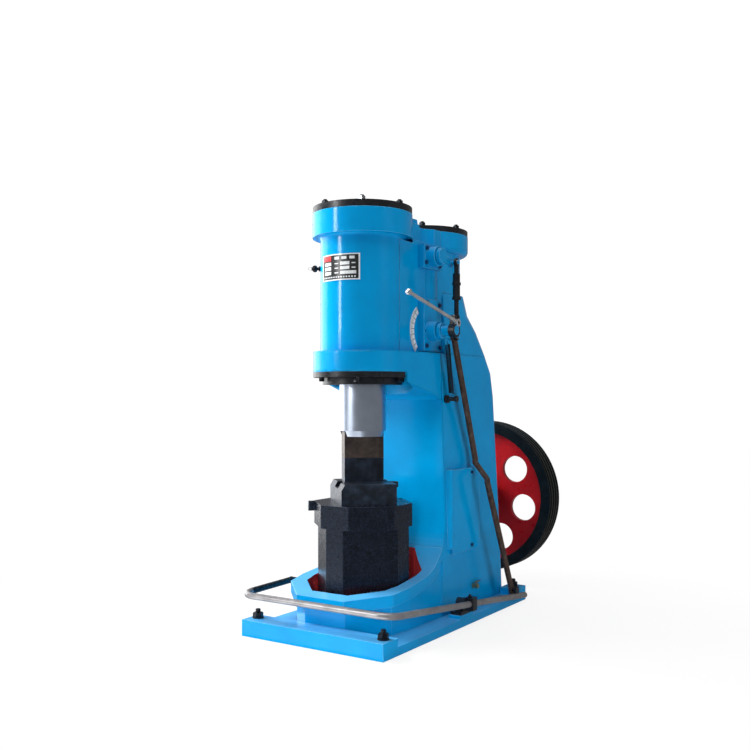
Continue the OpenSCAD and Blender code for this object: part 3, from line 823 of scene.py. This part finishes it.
class HAMMER_OT_name_plate(bpy.types.Operator):
    """Bare cells printed on the data plate"""

    bl_idname = "hammer.name_plate"
    bl_label = "Data plate"

    def execute(self, context):
        low, high = corners("name_plate")
        z0, z1 = low.z, high.z
        face = BARREL_R + PLATE_T
        ink = 0.4
        # Heights are in millimetres, and angles in degrees from the plate's middle.
        half = 29
        black, white, red = bmesh.new(), bmesh.new(), bmesh.new()
        curved_patch(black, face, face + ink, z0 + 4, z1 - 4, FRONT - half, FRONT + half, 16)
        finish_piece("plate_field", black, "frame", "plate_print_black")

        def cell(bm, bottom, top, left, right):
            steps = max(1, round((right - left) / 3))
            curved_patch(bm, face + ink, face + 2 * ink, bottom, top, FRONT + left, FRONT + right, steps)

        cell(red, z1 - 24, z1 - 6, -28, -11)
        for left in (-5, 6, 17):
            cell(white, z1 - 20, z1 - 10, left, left + 7)
        # Three rows, each with a cell, a bar for its label and a second cell, between header and foot.
        rows = 3
        foot = z0 + 18
        pitch = (z1 - 27 - foot) / rows
        for row in range(rows):
            bottom = foot + pitch * row + 3
            top = bottom + pitch - 5
            cell(white, bottom, top, -24, -11)
            cell(white, bottom, top, 4, 26 if row == 0 else 17)
            label = bottom + (pitch - 9) / 2
            cell(white, label, label + 4, -5, 1)
            if row:
                cell(white, label, label + 4, 20, 25)
        # A row of dashes along the foot.
        for i in range(14):
            left = -26 + 3.8 * i
            cell(white, z0 + 9, z0 + 14, left, left + 2)
        finish_piece("plate_cells", white, "frame", "plate_print_white")
        finish_piece("plate_square", red, "frame", "plate_print_red")
        return {"FINISHED"}


class HAMMER_OT_dial_marks(bpy.types.Operator):
    """Division lines on the dial of the hand lever"""

    bl_idname = "hammer.dial_marks"
    bl_label = "Dial marks"

    def execute(self, context):
        bm = bmesh.new()
        face = corners("dial_plate")[1].x
        _, y, z = joint_place("lower_valve_hinge")
        axis = placed(face, y, z, "X") @ Matrix.Rotation(math.pi / 2, 4, "Z")
        # The scale starts at first and runs over sweep, in degrees. Every fourth line is a main one.
        first, sweep, lines = 126.5, 100, 32
        for i in range(lines + 1):
            here = axis @ Matrix.Rotation(math.radians(first + sweep / lines * i), 4, "Z")
            inner, outer, half = (98, 108, 0.5) if i % 4 else (85, 109, 1.1)
            prism(bm, [(inner, -half), (outer, -half), (outer, half), (inner, half)], 0.4, here)
        finish_piece("dial_marks", bm, "frame", "plate_print_black")
        return {"FINISHED"}


class HAMMER_OT_return_spring(bpy.types.Operator):
    """Close-wound return spring with its two hooks"""

    bl_idname = "hammer.return_spring"
    bl_label = "Return spring"

    def execute(self, context):
        sizes = context.scene.hammer_sizes
        wire = sizes.spring_wire / 2
        # The coil hangs between the lower valve arm and the stud on the column's side.
        left, right = (corner.x for corner in corners("return_spring"))
        x = (left + right) / 2
        _, arm_y, arm_z = joint_place("lower_valve_hinge")
        stud_low, stud_high = corners("spring_stud")
        stud = (stud_low + stud_high) / 2
        top = Vector((x, arm_y + 44, arm_z - 50)) * MM
        low = Vector((x, stud.y - 2, stud.z + 23)) * MM
        axis = (low - top).normalized()
        side = Vector((1, 0, 0))
        front = axis.cross(side)
        coil_r = (right - left) / 2 * MM - wire
        per_turn = 14
        # From the coil the wire steps to the axis at the neck and runs on to the hook.
        neck, hook = axis * 0.004, axis * 0.014
        path = [top - hook, top - neck]
        count = sizes.spring_turns * per_turn
        for i in range(count + 1):
            a = math.tau * i / per_turn
            path.append(top.lerp(low, i / count) + (side * math.cos(a) + front * math.sin(a)) * coil_r)
        path += [low + neck, low + hook]
        curve = bpy.data.curves.new("return_spring_coil", "CURVE")
        curve.dimensions = "3D"
        curve.bevel_depth = wire
        curve.bevel_resolution = 1
        spline = curve.splines.new("POLY")
        spline.points.add(len(path) - 1)
        for point, co in zip(spline.points, path):
            point.co = (*co, 1)
        curve.use_fill_caps = True
        holder = bpy.data.objects.new("return_spring_curve", curve)
        bpy.context.scene.collection.objects.link(holder)
        bpy.context.view_layer.update()
        solid = holder.evaluated_get(bpy.context.evaluated_depsgraph_get())
        mesh = bpy.data.meshes.new_from_object(solid)
        bpy.data.objects.remove(holder)
        bm = bmesh.new()
        bm.from_mesh(mesh)
        finish_piece(
            "return_spring_coil",
            bm,
            "frame",
            "oiled_spring_wire",
            replaces=("return_spring",),
            smooth=60,
        )
        return {"FINISHED"}


class HAMMER_OT_linkage_pins(bpy.types.Operator):
    """Washers and split pins on the valve gear, clamp nuts and the bolt in the shaft's end"""

    bl_idname = "hammer.linkage_pins"
    bl_label = "Linkage pins"

    def execute(self, context):
        # The washer lies 1 mm outside the rod's eye, which is 10 mm thick, and the split pin follows it.
        rod_x, pin_y, pin_z = joint_place("rod_hinge")
        rise = joint_place("upper_valve_hinge")[2] - joint_place("lower_valve_hinge")[2]
        for name, body, z in (
            ("lower_arm_pin", "lower_valve", pin_z),
            ("upper_arm_pin", "upper_valve", pin_z + rise),
        ):
            bm = bmesh.new()
            washer(bm, outer=12, inner=8, thick=BOLT_WASHER_T, matrix=placed(rod_x + 6, pin_y, z, "X"))
            lathe(bm, [(0, -9), (1.5, -9), (1.5, 9), (0, 9)], placed(rod_x + 9.4, pin_y, z), 8)
            finish_piece(name, bm, body, "bright_zinc_steel")
        # The nuts stand on the clamps, and their washers are mostly inside the clamps' tops.
        bm = bmesh.new()
        low, high = corners("treadle_clamp_right")
        for side in (1, -1):
            here = placed(side * (high.x - 16), low.y + 5, high.z - BOLT_WASHER_T)
            top = here @ lift(BOLT_WASHER_T)
            washer(bm, outer=9, inner=4.5, thick=BOLT_WASHER_T, matrix=here)
            hexagon(bm, flats=14, height=8, matrix=top)
            stud_end(bm, r=4.5, height=14, matrix=top, pitch=1.5)
        finish_piece("clamp_nuts", bm, "treadle", "black_oxide_steel")
        # Washer and head are inside the shaft, and only the head's top shows, level with the shaft's end.
        bm = bmesh.new()
        head_h, washer_t = 8, 4
        seat_y = corners("crankshaft")[1].y - head_h
        shaft_z = joint_place("pulley_spin")[2]
        washer(bm, outer=30, inner=12, thick=washer_t, matrix=placed(0, seat_y - washer_t, shaft_z, "Y"))
        hexagon(bm, flats=30, height=head_h, matrix=placed(0, seat_y, shaft_z, "Y"))
        finish_piece("shaft_end_bolt", bm, "drive", "black_oxide_steel")
        return {"FINISHED"}


class HAMMER_OT_cocks(bpy.types.Operator):
    """Oil cup with its wire ring and the drain cock"""

    bl_idname = "hammer.cocks"
    bl_label = "Cocks"

    def execute(self, context):
        bm = bmesh.new()
        seat_z = corners("oil_cock")[0].z + 13
        out = Matrix.Rotation(math.radians(-146), 4, "Z") @ placed(BARREL_R, 0, seat_z, "X")
        neck = [(0, 0), (10, 0), (10, 6), (6, 7), (6, 12)]
        bowl = [(11, 14), (13, 19), (13, 24), (10, 29), (6, 31), (6, 34), (0, 34)]
        lathe(bm, neck + bowl, out, 20)
        finish_piece("oil_cup", bm, "frame", "black_oxide_steel", ("oil_cock",))
        bm = bmesh.new()
        # A round wire bent into a ring, squeezed to an oval and tilted over the cup.
        wire_r, ring_r = 0.9 * MM, 14 * MM
        ring = [bm.verts.new((ring_r + wire_r * math.cos(a), 0, wire_r * math.sin(a))) for a in fractions(8)]
        bm.faces.new(ring)
        bmesh.ops.spin(
            bm, geom=bm.faces[:], cent=(0, 0, 0), axis=(0, 0, 1), angle=math.tau, steps=32, use_merge=True
        )
        bmesh.ops.scale(bm, vec=(0.45, 1, 1), verts=bm.verts[:])
        tilt = lift(32) @ Matrix.Rotation(math.radians(80), 4, "X")
        bmesh.ops.transform(bm, matrix=out @ tilt, verts=bm.verts[:])
        finish_piece("oil_cup_ring", bm, "frame", "bright_zinc_steel")
        bm = bmesh.new()
        # Body along X, plug upright through its end and lever across the plug's top.
        low, high = corners("drain_cock")
        y, z = low.y + 15, low.z + 8
        plug_x = high.x - 7
        body = [(0, 0), (11, 0), (11, 5), (7, 7), (7, 14), (9, 15), (9, 24), (0, 26)]
        lathe(bm, body, placed(high.x - 24, y, z, "X"), 16)
        lathe(bm, [(0, -6), (6, -6), (6, 12), (4, 14), (4, 18), (0, 18)], placed(plug_x, y, z), 14)
        prism(bm, [(-5, -15), (5, -15), (3, 29), (-3, 29)], 4, placed(plug_x, y, high.z - 4))
        finish_piece("drain_cock_body", bm, "frame", "cast_brass", ("drain_cock",))
        return {"FINISHED"}


def floor_paper():
    """Matt white paper, lifted towards plain white for the camera alone."""
    shades = ("e9e9e9", "eeeeee", "f2f2f2")
    paper = surface("pale_paper", shades, 900, (0.7, 0.85), bumps=((40, 0.05),), IOR=1.1)
    tree = paper.node_tree
    shader = next(n for n in tree.nodes if n.type == "BSDF_PRINCIPLED")
    output = next(n for n in tree.nodes if n.type == "OUTPUT_MATERIAL")
    white = add(tree, "ShaderNodeEmission", {"Color": (1, 1, 1, 1), "Strength": 1.0})
    path = add(tree, "ShaderNodeLightPath")
    place = add(tree, "ShaderNodeTexCoord").outputs["Object"]
    # The paper near the machine keeps a little of its shadow, and is plain white from 1.9 m on.
    reach = add(tree, "ShaderNodeVectorMath", {0: place}, operation="LENGTH")
    fade = add(
        tree,
        "ShaderNodeMapRange",
        {"Value": reach.outputs["Value"], "From Min": 0.5, "From Max": 1.9, "To Min": 0.84, "To Max": 1.0},
    )
    seen = {0: path.outputs["Is Camera Ray"], 1: fade.outputs[0]}
    share = add(tree, "ShaderNodeMath", seen, operation="MULTIPLY").outputs[0]
    mixed = add(tree, "ShaderNodeMixShader", {0: share, 1: shader.outputs[0], 2: white.outputs[0]})
    tree.links.new(mixed.outputs[0], output.inputs["Surface"])
    return paper


def card_light():
    """Lit white card that only mirrors see."""
    material = bpy.data.materials.new("lit_white_card")
    material.use_nodes = True
    tree = material.node_tree
    tree.nodes.clear()
    place = add(tree, "ShaderNodeTexCoord").outputs["Object"]
    cloth = add(tree, "ShaderNodeTexNoise", {"Vector": place, "Scale": 1.6, "Detail": 2.0})
    level = add(tree, "ShaderNodeMapRange", {"Value": cloth.outputs["Fac"], "To Min": 1.6, "To Max": 3.5})
    white = add(tree, "ShaderNodeEmission", {"Color": (1, 1, 1, 1), "Strength": level.outputs[0]})
    out = add(tree, "ShaderNodeOutputMaterial")
    tree.links.new(white.outputs[0], out.inputs["Surface"])
    return material


def stage_plane(name, centre, half_x, half_y, material):
    """Level plane of the stage."""
    bm = bmesh.new()
    place = Matrix.Translation(centre) @ Matrix.Diagonal((half_x, half_y, 1, 1))
    bmesh.ops.create_grid(bm, x_segments=1, y_segments=1, size=1, matrix=place)
    mesh = bpy.data.meshes.new(name)
    bm.to_mesh(mesh)
    bm.free()
    plane = bpy.data.objects.new(name, mesh)
    mesh.materials.append(material)
    bpy.context.scene.collection.objects.link(plane)
    return plane


class HAMMER_OT_studio(bpy.types.Operator):
    """Pale sweep, soft lights and the camera"""

    bl_idname = "hammer.studio"
    bl_label = "Studio"

    def execute(self, context):
        floor = stage_plane("floor_sweep", (0, 0, 0), 14, 14, floor_paper())
        floor.visible_glossy = False
        # A lit card on the floor before the machine, for the low reflections alone.
        card = stage_plane("bounce_card", (-0.55, -0.68, 0.002), 0.95, 0.33, card_light())
        card.visible_camera = False
        card.visible_diffuse = False
        card.visible_shadow = False

        world = bpy.data.worlds.new("studio_air")
        world.use_nodes = True
        tree = world.node_tree
        tree.nodes.clear()
        path = add(tree, "ShaderNodeLightPath")
        # The air is dim for the paint, brighter for its gloss and white for the camera.
        glossy, seen = path.outputs["Is Glossy Ray"], path.outputs["Is Camera Ray"]
        mirrored = add(tree, "ShaderNodeMapRange", {"Value": glossy, "To Min": 0.1, "To Max": 0.25})
        strength = add(tree, "ShaderNodeMix", {"Factor": seen, "A": mirrored.outputs[0], "B": 1.05})
        back = add(tree, "ShaderNodeBackground", {"Color": (1, 1, 1, 1), "Strength": strength.outputs[0]})
        out = add(tree, "ShaderNodeOutputWorld")
        tree.links.new(back.outputs[0], out.inputs["Surface"])
        context.scene.world = world
        context.scene.view_settings.view_transform = "Standard"

        # Azimuth in degrees from the front, height and distance in metres, size, power in watts, spread
        # in degrees, height aimed at, and whether paint and mirrors see the lamp. Soft lamps light the
        # paint; the cards and strips are there for its gloss alone. The gridded one stays off the cylinders.
        for name, azimuth, height, distance, size, power, spread, aim_z, soft, mirrored in (
            ("high_left_softbox", -74, 2.5, 2.5, (1.6, 1.6), 195, 180, 0.8, True, False),
            ("left_softbox", -100, 1.4, 3.6, (3.2, 3.0), 90, 180, 0.8, False, True),
            ("mid_left_softbox", -58, 0.7, 3.2, (1.6, 1.2), 50, 180, 0.8, True, False),
            ("right_softbox", 95, 1.6, 4.5, (2.0, 2.6), 48, 180, 0.8, True, False),
            ("top_softbox", 10, 4.2, 1.2, (3.0, 3.0), 100, 180, 0.8, True, True),
            ("back_softbox", 190, 2.2, 4.0, (2.0, 2.4), 55, 180, 0.8, True, False),
            ("throat_gridded", 26, 0.75, 2.8, (0.5, 0.5), 0.75, 26, 0.2, True, False),
            ("barrel_strip", -29, 2.1, 4.2, (0.6, 1.6), 85, 180, 0.8, False, True),
            ("ram_card", -33, 0.5, 3.4, (1.9, 1.0), 5, 180, 0.8, False, True),
            ("ram_edge_card", -78, 0.65, 3.3, (2.0, 1.0), 7, 180, 0.8, False, True),
        ):
            lamp = bpy.data.lights.new(name, "AREA")
            lamp.shape = "RECTANGLE"
            lamp.size, lamp.size_y = size
            lamp.energy = power
            lamp.spread = math.radians(spread)
            holder = bpy.data.objects.new(name, lamp)
            a = math.radians(azimuth)
            holder.location = (math.sin(a) * distance, -math.cos(a) * distance, height)
            # The machine's middle is about 0.2 m behind the ram's axis.
            aim = Vector((0, 0.2, aim_z)) - holder.location
            holder.rotation_euler = aim.to_track_quat("-Z", "Y").to_euler()
            holder.visible_glossy = mirrored
            holder.visible_diffuse = soft
            context.scene.collection.objects.link(holder)

        # Level camera to the right of the front; the shift brings the whole height into the picture.
        camera = bpy.data.cameras.new("studio_camera")
        camera.lens = 43.98
        camera.sensor_width = 36
        camera.shift_y = 0.0289
        holder = bpy.data.objects.new("studio_camera", camera)
        holder.location = (1.9382, -2.8545, 0.8721)
        holder.rotation_euler = (math.pi / 2, 0, math.radians(33.4))
        context.scene.collection.objects.link(holder)
        context.scene.camera = holder
        return {"FINISHED"}


OPERATORS = (
    HAMMER_OT_finishes,
    HAMMER_OT_studio,
    HAMMER_OT_cover_nuts,
    HAMMER_OT_anchor_bolts,
    HAMMER_OT_gland_bolts,
    HAMMER_OT_cover_screws,
    HAMMER_OT_name_plate,
    HAMMER_OT_dial_marks,
    HAMMER_OT_return_spring,
    HAMMER_OT_linkage_pins,
    HAMMER_OT_cocks,
)


class HAMMER_PT_panel(bpy.types.Panel):
    """Lists the hammer's pieces"""

    bl_idname = "HAMMER_PT_panel"
    bl_label = "Forging hammer"
    bl_space_type = "VIEW_3D"
    bl_region_type = "UI"
    bl_category = "Hammer"

    def draw(self, context):
        layout = self.layout
        for operator in OPERATORS:
            layout.operator(operator.bl_idname)
        for group in (context.scene.hammer_sizes, context.scene.hammer_colours):
            for key in type(group).__annotations__:
                layout.prop(group, key)


CLASSES = (HammerSizes, HammerColours, *OPERATORS, HAMMER_PT_panel)


def register():
    for cls in CLASSES:
        bpy.utils.register_class(cls)
    bpy.types.Scene.hammer_sizes = PointerProperty(type=HammerSizes)
    bpy.types.Scene.hammer_colours = PointerProperty(type=HammerColours)


def unregister():
    del bpy.types.Scene.hammer_colours
    del bpy.types.Scene.hammer_sizes
    for cls in reversed(CLASSES):
        bpy.utils.unregister_class(cls)


def main():
    register()
    for operator in OPERATORS:
        group, name = operator.bl_idname.split(".")
        getattr(getattr(bpy.ops, group), name)()


if __name__ == "__main__":
    main()
